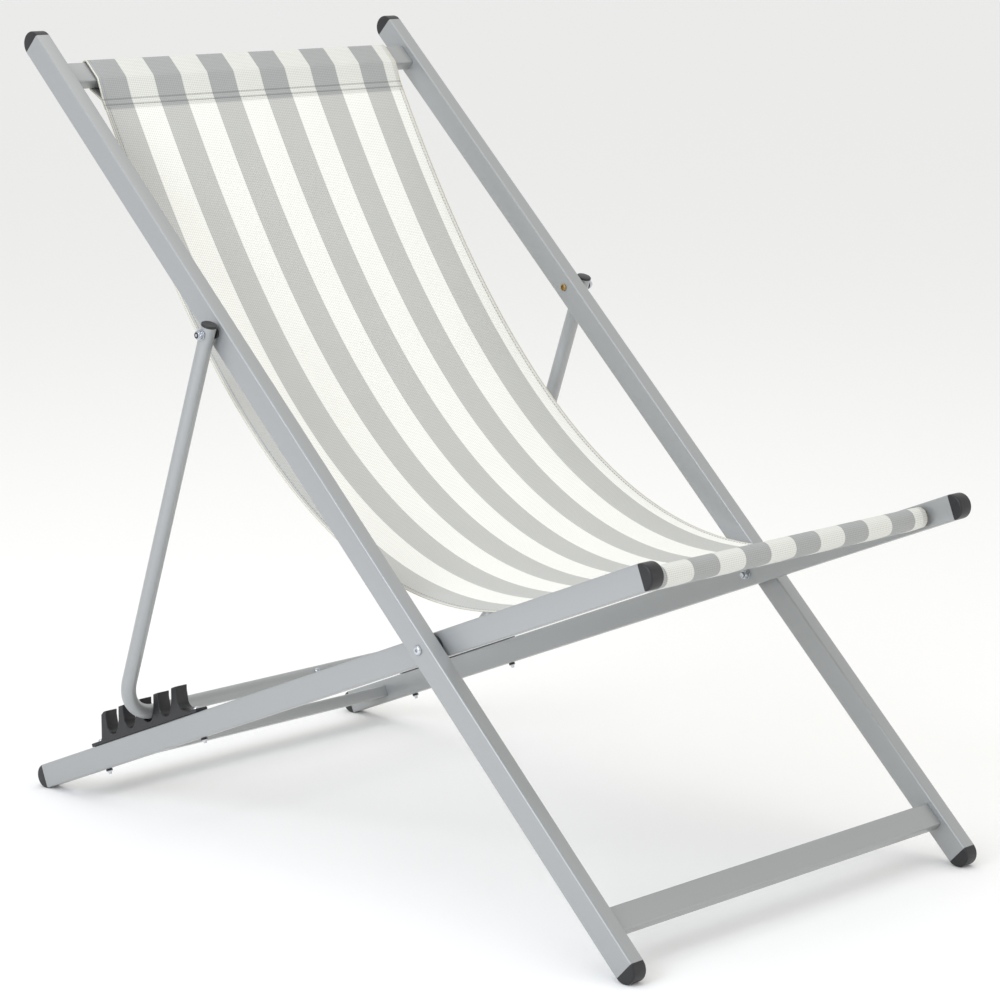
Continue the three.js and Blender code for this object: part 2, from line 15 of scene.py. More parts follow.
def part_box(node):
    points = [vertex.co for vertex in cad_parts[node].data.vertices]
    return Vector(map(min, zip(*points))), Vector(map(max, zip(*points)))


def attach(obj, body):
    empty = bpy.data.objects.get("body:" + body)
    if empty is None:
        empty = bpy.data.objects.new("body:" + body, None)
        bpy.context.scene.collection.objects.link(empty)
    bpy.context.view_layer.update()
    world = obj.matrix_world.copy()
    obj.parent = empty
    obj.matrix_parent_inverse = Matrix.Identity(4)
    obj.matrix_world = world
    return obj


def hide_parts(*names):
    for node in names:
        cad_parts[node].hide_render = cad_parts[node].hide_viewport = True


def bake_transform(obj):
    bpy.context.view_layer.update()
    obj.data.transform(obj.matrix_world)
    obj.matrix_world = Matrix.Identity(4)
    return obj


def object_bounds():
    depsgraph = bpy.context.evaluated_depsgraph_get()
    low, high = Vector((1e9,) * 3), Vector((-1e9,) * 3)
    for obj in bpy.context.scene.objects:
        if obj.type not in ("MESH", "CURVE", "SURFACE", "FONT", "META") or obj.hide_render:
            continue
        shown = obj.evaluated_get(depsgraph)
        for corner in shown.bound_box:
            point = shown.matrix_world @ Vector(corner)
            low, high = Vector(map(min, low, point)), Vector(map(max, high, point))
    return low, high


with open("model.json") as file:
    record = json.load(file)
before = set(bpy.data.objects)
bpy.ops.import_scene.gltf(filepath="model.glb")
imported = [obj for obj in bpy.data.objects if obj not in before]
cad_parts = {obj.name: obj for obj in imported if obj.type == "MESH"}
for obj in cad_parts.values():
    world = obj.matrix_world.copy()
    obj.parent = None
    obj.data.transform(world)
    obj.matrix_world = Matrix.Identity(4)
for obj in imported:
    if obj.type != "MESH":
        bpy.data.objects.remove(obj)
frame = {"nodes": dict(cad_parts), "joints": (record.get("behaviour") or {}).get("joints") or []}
cad_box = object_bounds()

MM = 0.001
SIDES = {"left": -1, "right": 1}


# ---- Studio -----------------------------------------------------------------
# A long lens a little above the seat, on the chair's near left front corner.
# White sweep underneath; broad lights from the left and above, soft fill in front.
CAMERA_PLACE = (-2.70703, -2.71025, 1.16266)
CAMERA_TURN, CAMERA_RISE, CAMERA_ROLL = -46.28, 11.71, 0.391  # degrees
LENS, SENSOR = 118.74, 36.0  # millimetres
SHIFT = (-0.0566, 0.0280)
FLOOR_REACH = 90.0
FLOOR_ROUGH, FLOOR_SHEEN = 0.9, 0.1
FLOOR_HEX = "FBFBFA"
SKY_HEX = "FFFFFF"
SKY_STRENGTH = 0.86
LIGHTS = {  # name: (place, aimed at, size, watts, colour)
    "left_panel": ((-2.5, -0.3, 1.5), (-0.2, 0, 0.4), 1.6, 34, "E8F0FF"),
    "top_panel": ((0.2, 0.4, 3.6), (0, 0, 0.4), 3.0, 22, "FFFCF4"),
    "front_fill": ((1.4, -3.8, 1.5), (0, 0, 0.4), 2.2, 14, "FFF4E4"),
}


def linear(hex_colour):
    """An sRGB hex colour as linear red, green, blue and full alpha."""
    parts = np.array([int(hex_colour[i : i + 2], 16) for i in (0, 2, 4)]) / 255
    low, high = parts / 12.92, ((parts + 0.055) / 1.055) ** 2.4
    return (*np.where(parts <= 0.04045, low, high), 1.0)


def add_node(tree, kind, inputs=None, **settings):
    """One node: settings are its own, and an input is linked if given a socket, or set."""
    node = tree.nodes.new(kind)
    for key, value in settings.items():
        setattr(node, key, value)
    for key, value in (inputs or {}).items():
        if isinstance(value, bpy.types.NodeSocket):
            tree.links.new(value, node.inputs[key])
        else:
            node.inputs[key].default_value = value
    return node


def new_finish(name):
    """An empty node material and its tree."""
    finish = bpy.data.materials.new(name)
    finish.use_nodes = True
    finish.node_tree.nodes.clear()
    return finish, finish.node_tree


def noise(tree, place, size, detail=2):
    """A cloudy value about 0.5 whose patches are about this many metres across."""
    inputs = {"Vector": place, "Scale": 1 / size, "Detail": detail}
    return add_node(tree, "ShaderNodeTexNoise", inputs).outputs[0]


def between(tree, value, ends):
    """A value from 0 to 1 carried to lie between two ends."""
    inputs = {"Value": value, "To Min": ends[0], "To Max": ends[1]}
    return add_node(tree, "ShaderNodeMapRange", inputs).outputs["Result"]


def raised(tree, height, strength, depth):
    """The normal of a surface that a height from 0 to 1 lifts by depth metres."""
    inputs = {"Height": height, "Strength": strength, "Distance": depth}
    return add_node(tree, "ShaderNodeBump", inputs).outputs["Normal"]


def surface(tree, **inputs):
    """The finish's skin, joined to its output; an underscore in a name is a space."""
    inputs = {name.replace("_", " "): value for name, value in inputs.items()}
    skin = add_node(tree, "ShaderNodeBsdfPrincipled", inputs)
    add_node(tree, "ShaderNodeOutputMaterial", {"Surface": skin.outputs[0]})


camera = bpy.data.objects.new("camera", bpy.data.cameras.new("camera"))
camera.data.lens, camera.data.sensor_width = LENS, SENSOR
camera.data.shift_x, camera.data.shift_y = SHIFT
turn, rise, roll = (math.radians(a) for a in (CAMERA_TURN, CAMERA_RISE, CAMERA_ROLL))
camera.matrix_world = (
    Matrix.Translation(CAMERA_PLACE)
    @ Matrix.Rotation(turn, 4, "Z")
    @ Matrix.Rotation(math.pi / 2 - rise, 4, "X")
    @ Matrix.Rotation(roll, 4, "Z")
)
bpy.context.scene.collection.objects.link(camera)
bpy.context.scene.camera = camera

sweep, tree = new_finish("white_paper_sweep")
paper = add_node(
    tree,
    "ShaderNodeBsdfPrincipled",
    {
        "Base Color": linear(FLOOR_HEX),
        "Roughness": FLOOR_ROUGH,
        "Specular IOR Level": FLOOR_SHEEN,
    },
)
add_node(tree, "ShaderNodeOutputMaterial", {"Surface": paper.outputs[0]})
quarters = ((-1, -1), (1, -1), (1, 1), (-1, 1))
corners = [(x * FLOOR_REACH, y * FLOOR_REACH, 0) for x, y in quarters]
floor_mesh = bpy.data.meshes.new("floor")
floor_mesh.from_pydata(corners, [], [(0, 1, 2, 3)])
floor_mesh.materials.append(sweep)
floor = bpy.data.objects.new("floor", floor_mesh)
bpy.context.scene.collection.objects.link(floor)

world = bpy.data.worlds.new("studio")
world.use_nodes = True
world.node_tree.nodes.clear()
sky = add_node(
    world.node_tree,
    "ShaderNodeBackground",
    {"Color": linear(SKY_HEX), "Strength": SKY_STRENGTH},
)
add_node(world.node_tree, "ShaderNodeOutputWorld", {"Surface": sky.outputs[0]})
bpy.context.scene.world = world
bpy.context.scene.view_settings.view_transform = "Standard"

for name, (place, target, size, watts, colour) in LIGHTS.items():
    panel = bpy.data.lights.new(name, "AREA")
    panel.size, panel.energy = size, watts
    panel.color = linear(colour)[:3]
    lamp = bpy.data.objects.new(name, panel)
    lamp.location = place
    aim = Vector(target) - Vector(place)
    lamp.rotation_euler = aim.to_track_quat("-Z", "Y").to_euler()
    bpy.context.scene.collection.objects.link(lamp)


# ---- Rails ------------------------------------------------------------------
# Four straight lengths of 20 x 30 mm steel tube, two to each frame. They are
# powder coated satin silver-grey, and their long edges are drawn to a small radius.
TUBE_CORNER = 2.0 * MM
PAINT_HEX = "A1A3A3"
PAINT_PEEL = 1.6 * MM  # from crest to crest of the cured powder
PAINT_DRIFT = 140 * MM  # over which the coat gets thicker and thinner
PAINT_ROUGH = (0.30, 0.40)
PAINT_METAL = 0.35
PAINT_BUMP = (0.25, 0.04 * MM)  # strength and depth
CLEAR_COAT, CLEAR_ROUGH = 0.3, 0.22
SMOOTH = 35  # degrees; sharper edges stay sharp

joints = {joint["name"]: joint for joint in frame["joints"]}
pivot = np.array(joints["frame_fold"]["pos_m"], float)
prop_pivot = np.array(joints["prop_swing"]["pos_m"], float)


def centre(node):
    """Middle of a CAD node's box."""
    low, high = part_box(node)
    return (np.array(low) + np.array(high)) / 2


def rail_axes(tip):
    """Columns X, along and across for rails that run from the main pivot to tip."""
    along = (tip - pivot) * (0, 1, 1)
    along = along / np.linalg.norm(along)
    side = np.array([1.0, 0, 0])
    return np.stack([side, along, np.cross(side, along)], 1)


back_axes = rail_axes(prop_pivot)
seat_axes = rail_axes(centre("seat_rear_crossbar"))


def placed(points, axes, origin=pivot):
    """Points in a rail's own axes, carried to the row frame."""
    return np.asarray(points) @ axes.T + origin


def span(node, axes, origin=pivot):
    """Lowest and highest corner of a CAD node, measured in a rail's own axes."""
    vertices = frame["nodes"][node].data.vertices
    places = np.empty(len(vertices) * 3)
    vertices.foreach_get("co", places)
    own = (places.reshape(-1, 3) - origin) @ axes
    return own.min(0), own.max(0)


def rounded_rect(width, depth, radius, steps=6):
    """A rectangle once round, each corner a quarter circle about a point set in from it."""
    quarter = np.linspace(0, math.pi / 2, steps + 1)
    angles = (quarter + np.arange(4)[:, None] * math.pi / 2).ravel()
    corner = np.repeat([(1, 1), (-1, 1), (-1, -1), (1, -1)], steps + 1, axis=0)
    inset = np.array([width / 2 - radius, depth / 2 - radius])
    return corner * inset + radius * np.stack([np.cos(angles), np.sin(angles)], 1)


def shell_faces(rows, count):
    """Quads between each ring and the next all the way round, as indices."""
    start = np.arange(rows - 1)[:, None] * count
    here = np.arange(count)[None, :]
    after = (here + 1) % count
    sides = [start + here, start + after, start + count + after, start + count + here]
    return np.stack(sides, -1).reshape(-1, 4)


def add_mesh(name, points, faces, finish, smooth=SMOOTH, outward=True):
    """A mesh object at the origin, smooth but for edges sharper than smooth degrees."""
    mesh = bpy.data.meshes.new(name)
    mesh.from_pydata(np.asarray(points).tolist(), [], faces)
    if outward:
        work = bmesh.new()
        work.from_mesh(mesh)
        bmesh.ops.recalc_face_normals(work, faces=work.faces)
        work.to_mesh(mesh)
        work.free()
    mesh.shade_smooth()
    mesh.set_sharp_from_angle(angle=math.radians(smooth))
    mesh.materials.append(finish)
    piece = bpy.data.objects.new(name, mesh)
    bpy.context.scene.collection.objects.link(piece)
    return piece


def add_shells(name, shells, finish, smooth=SMOOTH):
    """Closed shells, each an array of rings; the first and last ring are filled in."""
    points, faces, base = [], [], 0
    for rings in shells:
        rows, count = rings.shape[:2]
        points.append(rings.reshape(-1, 3))
        faces += (shell_faces(rows, count) + base).tolist()
        faces.append((base + np.arange(count)[::-1]).tolist())
        faces.append((base + (rows - 1) * count + np.arange(count)).tolist())
        base += rows * count
    return add_mesh(name, np.concatenate(points), faces, finish, smooth)


def fit(piece, body, slot, *nodes):
    """The piece stands for these CAD nodes, on this body; slot is not used."""
    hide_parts(*nodes)
    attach(piece, body)
    return piece


def powder_coat():
    """Cured polyester powder with a little metal in it: satin, with a faint orange peel."""
    finish, tree = new_finish("silver_grey_powder_coat")
    place = add_node(tree, "ShaderNodeTexCoord").outputs["Object"]
    surface(
        tree,
        Base_Color=linear(PAINT_HEX),
        Metallic=PAINT_METAL,
        Roughness=between(tree, noise(tree, place, PAINT_DRIFT, 3), PAINT_ROUGH),
        Coat_Weight=CLEAR_COAT,
        Coat_Roughness=CLEAR_ROUGH,
        Normal=raised(tree, noise(tree, place, PAINT_PEEL), *PAINT_BUMP),
    )
    return finish


def tube_length(node, axes, along_axis):
    """A rounded rectangle carried straight from one end of the CAD node to the other."""
    low, high = span(node, axes)
    across = [axis for axis in range(3) if axis != along_axis]
    section = rounded_rect(*(high - low)[across], TUBE_CORNER)
    rings = np.empty((2, len(section), 3))
    rings[:, :, across] = section + ((low + high) / 2)[across]
    rings[:, :, along_axis] = np.array([low, high])[:, along_axis, None]
    return placed(rings, axes)


paint = powder_coat()
for side in SIDES:
    for kind, axes in (("back", back_axes), ("seat", seat_axes)):
        node = f"{kind}_rail_{side}"
        rail = add_shells(f"{node}_tube", [tube_length(node, axes, 1)], paint)
        fit(rail, f"{kind}_frame", "frame_paint", node)


# ---- Crossbars --------------------------------------------------------------
# Four lengths of 30 x 15 mm tube, flat side in line with the rails, fixed between
# them. The sling hides the middle of two of them. Same paint as the rails.
CROSSBARS = {
    "top_crossbar": ("back_frame", back_axes),
    "bottom_crossbar": ("back_frame", back_axes),
    "sling_front_bar": ("seat_frame", seat_axes),
    "seat_rear_crossbar": ("seat_frame", seat_axes),
}
for node, (body, axes) in CROSSBARS.items():
    bar = add_shells(f"{node}_tube", [tube_length(node, axes, 0)], paint)
    fit(bar, body, "frame_paint", node)


# ---- End caps ---------------------------------------------------------------
# Black polypropylene plugs pushed into the rails. What shows is half a disc as thick
# as the tube, its edges well rounded. The four floor caps have a worn flat.
CAP_FILLET = 2.4 * MM
PLASTIC_HEX = "1F1F21"
PLASTIC_GRAIN = 0.9 * MM  # spark texture of the mould, drawn coarse enough to show
PLASTIC_SCUFF = 18 * MM
PLASTIC_ROUGH = (0.3, 0.48)
PLASTIC_BUMP = (0.4, 0.05 * MM)  # strength and depth
PLASTIC_IOR = 1.49
CAP_STEPS, FILLET_STEPS = 40, 6
CAPS = {  # name: (frame, which way it points along the rail)
    "back_top_cap": ("back", 1),
    "foot_cap": ("back", -1),
    "seat_front_cap": ("seat", -1),
    "seat_rear_cap": ("seat", 1),
}


def moulded_plastic():
    """Injection-moulded polypropylene: near black, matt from the mould's spark texture."""
    finish, tree = new_finish("black_polypropylene")
    place = add_node(tree, "ShaderNodeTexCoord").outputs["Object"]
    surface(
        tree,
        Base_Color=linear(PLASTIC_HEX),
        Roughness=between(tree, noise(tree, place, PLASTIC_SCUFF, 4), PLASTIC_ROUGH),
        IOR=PLASTIC_IOR,
        Normal=raised(tree, noise(tree, place, PLASTIC_GRAIN, 3), *PLASTIC_BUMP),
    )
    return finish


def half_round(thickness, radius):
    """Half discs side by side along X; near both sides a disc's radius follows the fillet."""
    bend = np.linspace(0, math.pi / 2, FILLET_STEPS + 1)
    inset = CAP_FILLET * (1 - np.sin(bend))
    depth = CAP_FILLET * (1 - np.cos(bend))
    x = np.concatenate([depth - thickness / 2, (thickness / 2 - depth)[::-1]])
    radii = radius - np.concatenate([inset, inset[::-1]])
    angles = np.linspace(-math.pi / 2, math.pi / 2, CAP_STEPS + 1)
    rings = np.empty((len(x), CAP_STEPS + 1, 3))
    rings[:, :, 0] = x[:, None]
    rings[:, :, 1] = radii[:, None] * np.cos(angles)
    rings[:, :, 2] = radii[:, None] * np.sin(angles)
    return rings


plastic = moulded_plastic()
for kind, (rails, direction) in CAPS.items():
    axes = back_axes if rails == "back" else seat_axes
    for side in SIDES:
        node = f"{kind}_{side}"
        low, high = span(node, axes)
        rail_low, rail_high = span(f"{rails}_rail_{side}", axes)
        end = (rail_high if direction > 0 else rail_low)[1]
        middle = (rail_low + rail_high) / 2
        size = rail_high - rail_low
        dome = half_round(size[0], size[2] / 2) * (1, direction, 1)
        dome = placed(dome + (middle[0], end, middle[2]), axes)
        dome[..., 2] = np.maximum(dome[..., 2], cad_box[0].z)
        cap = add_shells(f"{node}_moulding", [dome], plastic)
        fit(cap, f"{rails}_frame", "black_plastic", node)


# ---- Main pivots ------------------------------------------------------------
# An M6 button-head screw goes through the back rail, a black nylon spacer, the seat
# rail and a washer into a lock nut. Steel, bright zinc plated. The spacer's black also
# stands for the painted shadow in the gap between the rails.
ROUND = 48  # facets round a turned piece
ZINC_HEX = "C9CDD2"
DOME_STEPS = 8
PIVOT_HEAD = {"height": 3.2 * MM, "crown": 0.55, "socket": 4.0 * MM, "depth": 1.9 * MM}
SHANK = 3.0 * MM
SHANK_TIP = 0.75  # of the shank's radius, where its chamfer ends
NUT_FLATS, NUT_CHAMFER, NUT_COLLAR = 10.0 * MM, 0.7 * MM, 4.3 * MM
WASHER_EDGE = 0.25 * MM
NYLON_INSET = 0.5 * MM
HEX_SHARE = 0.72  # of a lock nut's height; the rest is its collar
COLLAR_LIP, COLLAR_BORE, COLLAR_RING = 0.92, 0.84, 0.82  # of the collar's radius
SPACER_EDGE = 0.6 * MM
ZINC_CLOUD = 2.5 * MM
ZINC_ROUGH = (0.18, 0.34)


def plated_steel(name, colour, rough):
    """Electroplated steel: bright, a little cloudy where the plating is uneven."""
    finish, tree = new_finish(name)
    place = add_node(tree, "ShaderNodeTexCoord").outputs["Object"]
    cloud = noise(tree, place, ZINC_CLOUD, 3)
    surface(
        tree,
        Base_Color=linear(colour),
        Metallic=1.0,
        Roughness=between(tree, cloud, rough),
    )
    return finish


def turned(rows, start, direction):
    """Rings about an axis. A row is (way along, radius, across flats or None); with flats
    the ring is the hexagon, or the circle wherever that is nearer the axis."""
    direction = np.asarray(direction, float) / np.linalg.norm(direction)
    aside = np.cross(direction, (0, 0, 1) if abs(direction[2]) < 0.9 else (1, 0, 0))
    aside /= np.linalg.norm(aside)
    up = np.cross(direction, aside)
    angle = np.linspace(0, 2 * math.pi, ROUND, endpoint=False)
    sixth = math.pi / 3
    to_flat = np.cos((angle % sixth) - sixth / 2)
    rings = []
    for way, radius, flats in rows:
        reach = np.full(ROUND, radius)
        if flats is not None:
            reach = np.minimum(reach, flats / 2 / to_flat)
        spoke = np.cos(angle)[:, None] * aside + np.sin(angle)[:, None] * up
        rings.append(np.asarray(start) + way * direction + reach[:, None] * spoke)
    return np.array(rings)


def socket_screw(head, radius, shank, length):
    """From the bottom of the hexagon socket out over the quarter-ellipse dome, and down
    the shank to its chamfered tip."""
    socket, height = head["socket"], head["height"]
    sweep = np.linspace(0, math.pi / 2, DOME_STEPS)
    crown = head["crown"] * radius
    rows = [(head["depth"], radius, socket), (0, radius, socket), (0, crown, None)]
    for turn in sweep[1:]:
        out = crown + (radius - crown) * math.sin(turn)
        rows.append((height * (1 - math.cos(turn)), out, None))
    rows += [(height, shank, None), (length - shank / 4, shank, None)]
    rows.append((length, shank * SHANK_TIP, None))
    return rows


def lock_nut(height, flats, collar):
    """A hexagon with both rims chamfered by a circle, a round collar on the far side, and
    inside the collar a ring let in a little below its lip."""
    corner = flats / math.sqrt(3)
    hex_height = height * HEX_SHARE
    return [
        (0, flats / 2, None),
        (NUT_CHAMFER / 2, corner, flats),
        (hex_height - NUT_CHAMFER / 2, corner, flats),
        (hex_height, flats / 2, None),
        (hex_height, collar, None),
        (height - NUT_CHAMFER / 2, collar, None),
        (height, collar * COLLAR_LIP, None),
        (height, collar * COLLAR_BORE, None),
        (height - NYLON_INSET, collar * COLLAR_RING, None),
    ]


def add_nut(name, rows, start, direction, shaded_rows=0):
    """A plated lock nut; the nylon ring is the face at the bottom of its collar, and the faces
    of its first rings, as many as given, are black plastic: painted shade under the rail."""
    nut = add_shells(name, [turned(rows, start, direction)], zinc)
    nut.data.materials.append(plastic)
    nut.data.polygons[len(nut.data.polygons) - 1].material_index = 1
    # the chamfer and hex faces next to the rail take the black plastic: painted shade
    for face in nut.data.polygons[: shaded_rows * ROUND]:
        face.material_index = 1
    return nut


def disc(height, radius, edge):
    """A flat ring's outside, with both rims broken."""
    return [
        (0, radius - edge, None),
        (edge, radius, None),
        (height - edge, radius, None),
        (height, radius - edge, None),
    ]


def along_x(node, way):
    """Where a node on a cross axis starts, going this way (+1 or -1) along X, and its
    length and radius."""
    low, high = (np.array(corner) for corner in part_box(node))
    start = (low + high) / 2
    start[0] = low[0] if way > 0 else high[0]
    return start, high[0] - low[0], (high[1] - low[1]) / 2


def close_pivot(kind, side, way, spacer_name, spacer_edge):
    """Black spacer, plated washer and lock nut of a cross screw that runs this way."""
    discs = {
        "spacer": (spacer_name, spacer_edge, plastic, "black_plastic"),
        "washer": ("plate", WASHER_EDGE, zinc, "zinc"),
    }
    for part, (name, edge, finish, slot) in discs.items():
        start, length, radius = along_x(f"{kind}_{part}_{side}", way)
        shell = turned(disc(length, radius, edge), start, (way, 0, 0))
        piece = add_shells(f"{kind}_{name}_{side}", [shell], finish)
        fit(piece, "back_frame", slot, f"{kind}_{part}_{side}")
    start, length, _ = along_x(f"{kind}_nut_{side}", way)
    rows = lock_nut(length, NUT_FLATS, NUT_COLLAR)
    nut = add_nut(f"{kind}_lock_nut_{side}", rows, start, (way, 0, 0))
    fit(nut, "back_frame", "zinc", f"{kind}_nut_{side}")


zinc = plated_steel("bright_zinc_plate", ZINC_HEX, ZINC_ROUGH)
for side, sign in SIDES.items():
    start, length, radius = along_x(f"pivot_bolt_{side}", -sign)
    rows = socket_screw(PIVOT_HEAD, radius, SHANK, length)
    screw = add_shells(f"pivot_screw_{side}", [turned(rows, start, (-sign, 0, 0))], zinc)
    fit(screw, "back_frame", "zinc", f"pivot_bolt_{side}")
    # the black spacer between the rails is partly painted shadow of the gap
    close_pivot("pivot", side, -sign, "disc", SPACER_EDGE)


# ---- Prop -------------------------------------------------------------------
# Two 18 mm round tubes, each bent once, meet in the middle of the bar on an inner plug
# and are held by a screw. Same paint as the rails; a flat black cap closes each top.
PROP_RADIUS = 9.0 * MM
PROP_BEND = 52.0 * MM
BEND_STEPS = 28
TUBE_ROUND = 40
CAP_EDGE = 0.8 * MM
CAP_RIM = ((0, 2), (0.3, 1), (1, 0.2), (1.5, 0))  # (way along, set in), in cap edges
MIDDLE_HEAD = {"height": 2.4 * MM, "crown": 0.5, "socket": 2.5 * MM, "depth": 1.2 * MM}
MIDDLE_SHANK = 2.0 * MM

bar_middle = centre("prop_connector") * (0, 1, 1)
prop_length = np.linalg.norm(bar_middle - prop_pivot)
leg_way = (bar_middle - prop_pivot) / prop_length
prop_axes = np.stack([(1, 0, 0), leg_way, np.cross((1, 0, 0), leg_way)], 1)


def bent_tube(node, sign):
    """A circle carried down the leg, round a quarter turn, and along the bar to the seam;
    it stays square to the path all the way."""
    low, high = span(node, prop_axes, prop_pivot)
    leg_x = (high[0] if sign > 0 else low[0]) - sign * PROP_RADIUS
    seam = low[0] if sign > 0 else high[0]
    bend_start = prop_length - PROP_BEND
    turn = np.linspace(0, math.pi / 2, BEND_STEPS + 1)
    path = np.stack(
        [
            leg_x - sign * PROP_BEND * (1 - np.cos(turn)),
            bend_start + PROP_BEND * np.sin(turn),
        ],
        1,
    )
    path = np.concatenate([[(leg_x, low[1])], path, [(seam, prop_length)]])
    heading = np.concatenate([[0], turn, [math.pi / 2]])
    square = np.stack([np.cos(heading), sign * np.sin(heading)], 1)
    angle = np.linspace(0, 2 * math.pi, TUBE_ROUND, endpoint=False)
    rings = np.empty((len(path), TUBE_ROUND, 3))
    rings[:, :, :2] = (
        path[:, None] + PROP_RADIUS * np.cos(angle)[None, :, None] * square[:, None]
    )
    rings[:, :, 2] = PROP_RADIUS * np.sin(angle)
    return placed(rings, prop_axes, prop_pivot)


for side, sign in SIDES.items():
    node = f"prop_half_{side}"
    half = add_shells(f"{node}_tube", [bent_tube(node, sign)], paint)
    fit(half, "prop", "frame_paint", node)

    low, high = span(f"prop_cap_{side}", prop_axes, prop_pivot)
    top = span(node, prop_axes, prop_pivot)[0][1]
    radius = (high[0] - low[0]) / 2
    start = placed([(low[0] + high[0]) / 2, low[1], 0], prop_axes, prop_pivot)
    rows = [(along * CAP_EDGE, radius - inset * CAP_EDGE, None) for along, inset in CAP_RIM]
    rows.append((top - low[1], radius, None))
    shell = turned(rows, start, prop_axes[:, 1])
    cap = add_shells(f"prop_cap_{side}_moulding", [shell], plastic)
    fit(cap, "prop", "black_plastic", f"prop_cap_{side}")

screw_way = (centre("prop_middle_screw") - bar_middle) * (0, 1, 1)
screw_way /= np.linalg.norm(screw_way)
screw_axes = np.stack([(1, 0, 0), screw_way, np.cross((1, 0, 0), screw_way)], 1)
low, high = span("prop_middle_screw", screw_axes, bar_middle)
rows = socket_screw(MIDDLE_HEAD, (high[0] - low[0]) / 2, MIDDLE_SHANK, high[1] - low[1])
start = bar_middle + screw_way * high[1]
middle_screw = add_shells("prop_bar_screw", [turned(rows, start, -screw_way)], zinc)
fit(middle_screw, "prop", "zinc", "prop_middle_screw")
frame["nodes"]["prop_connector"].data.materials.clear()
frame["nodes"]["prop_connector"].data.materials.append(paint)


# ---- Prop pivots ------------------------------------------------------------
# A yellow zinc M6 screw from inside the back rail carries the prop on a black sleeve.
# Outside, a washer and a lock nut; the nut's nylon ring is dark.
YELLOW_HEX = "A78D5E"
PROP_HEAD = {"height": 1.8 * MM, "crown": 0.74, "socket": 5.4 * MM, "depth": 1.6 * MM}
YELLOW_ROUGH = (0.22, 0.38)
TIP, TIP_SHOWS = 1.9 * MM, 0.4 * MM  # cut end of the screw, and how far it stands out
TIP_TAPER = 0.9  # of the tip's radius, at its very end
THREAD_END = 1.6 * MM  # from the full thread to the nut's lip

yellow_zinc = plated_steel("yellow_zinc_plate", YELLOW_HEX, YELLOW_ROUGH)
for side, sign in SIDES.items():
    start, _, radius = along_x(f"prop_bolt_{side}", sign)
    nut_end = abs(along_x(f"prop_nut_{side}", -sign)[0][0] - start[0])
    rows = socket_screw(PROP_HEAD, radius, SHANK, nut_end - THREAD_END)
    rows += [(nut_end - THREAD_END, TIP, None), (nut_end + TIP_SHOWS, TIP * TIP_TAPER, None)]
    shell = turned(rows, start, (sign, 0, 0))
    screw = add_shells(f"prop_screw_{side}", [shell], yellow_zinc)
    screw.data.materials.append(zinc)
    tip_faces = (len(rows) - 2) * ROUND
    facets = screw.data.polygons
    for face in [*facets[tip_faces : tip_faces + ROUND], facets[-1]]:
        face.material_index = 1
    fit(screw, "back_frame", "yellow_zinc", f"prop_bolt_{side}")

    close_pivot("prop", side, sign, "sleeve", WASHER_EDGE)


# ---- Notch racks ------------------------------------------------------------
# A black moulded rack is screwed down on each seat rail, with four notches whose walls
# stand upright when the chair is open. The bar rests in the third notch from the rear.
NOTCH_PITCH = 36.3 * MM
NOTCH_COUNT, NOTCH_IN_USE = 4, 3
NOTCH_RADIUS, NOTCH_HALF, NOTCH_DROP = 10.2 * MM, 12.3 * MM, 1.4 * MM
NOTCH_FLARE = 8.0 * MM
REAR_TOOTH, TOOTH_CHAMFER = 9.0 * MM, 2.6 * MM
RACK_FLANGE = 4.5 * MM
RACK_ROUND, RACK_ROUND_FROM = 0.9 * MM, 28  # edges that turn by more degrees are rounded
FLANGE_PAST_BOLT = 1.0 * MM
RACK_HEAD = {"height": 2.4 * MM, "crown": 0.5, "socket": 2.5 * MM, "depth": 1.4 * MM}
RACK_SHANK = 2.0 * MM
RACK_NUT_FLATS, RACK_COLLAR = 7.0 * MM, 2.9 * MM
RACK_NUT_SHADED_ROWS = 2  # rings of a nut's outline by the rail, drawn black as painted shade

seat_tilt = -math.atan2(seat_axes[2, 1], seat_axes[1, 1])
tilt_sin, tilt_cos = math.sin(seat_tilt), math.cos(seat_tilt)
resting = (bar_middle - pivot) @ seat_axes


def from_notch(index, back, up):
    """Points level and upright from a notch's middle, as (along, across) the seat rail."""
    along = resting[1] + (NOTCH_IN_USE - index) * NOTCH_PITCH
    return np.stack(
        [
            along + back * tilt_cos - up * tilt_sin,
            resting[2] + back * tilt_sin + up * tilt_cos,
        ],
        -1,
    )


def arc(middle, radius, first, last, steps):
    """Points on a circle from the first angle to the last, in radians."""
    angles = np.linspace(first, last, steps + 1)
    return np.asarray(middle) + radius * np.stack([np.cos(angles), np.sin(angles)], 1)


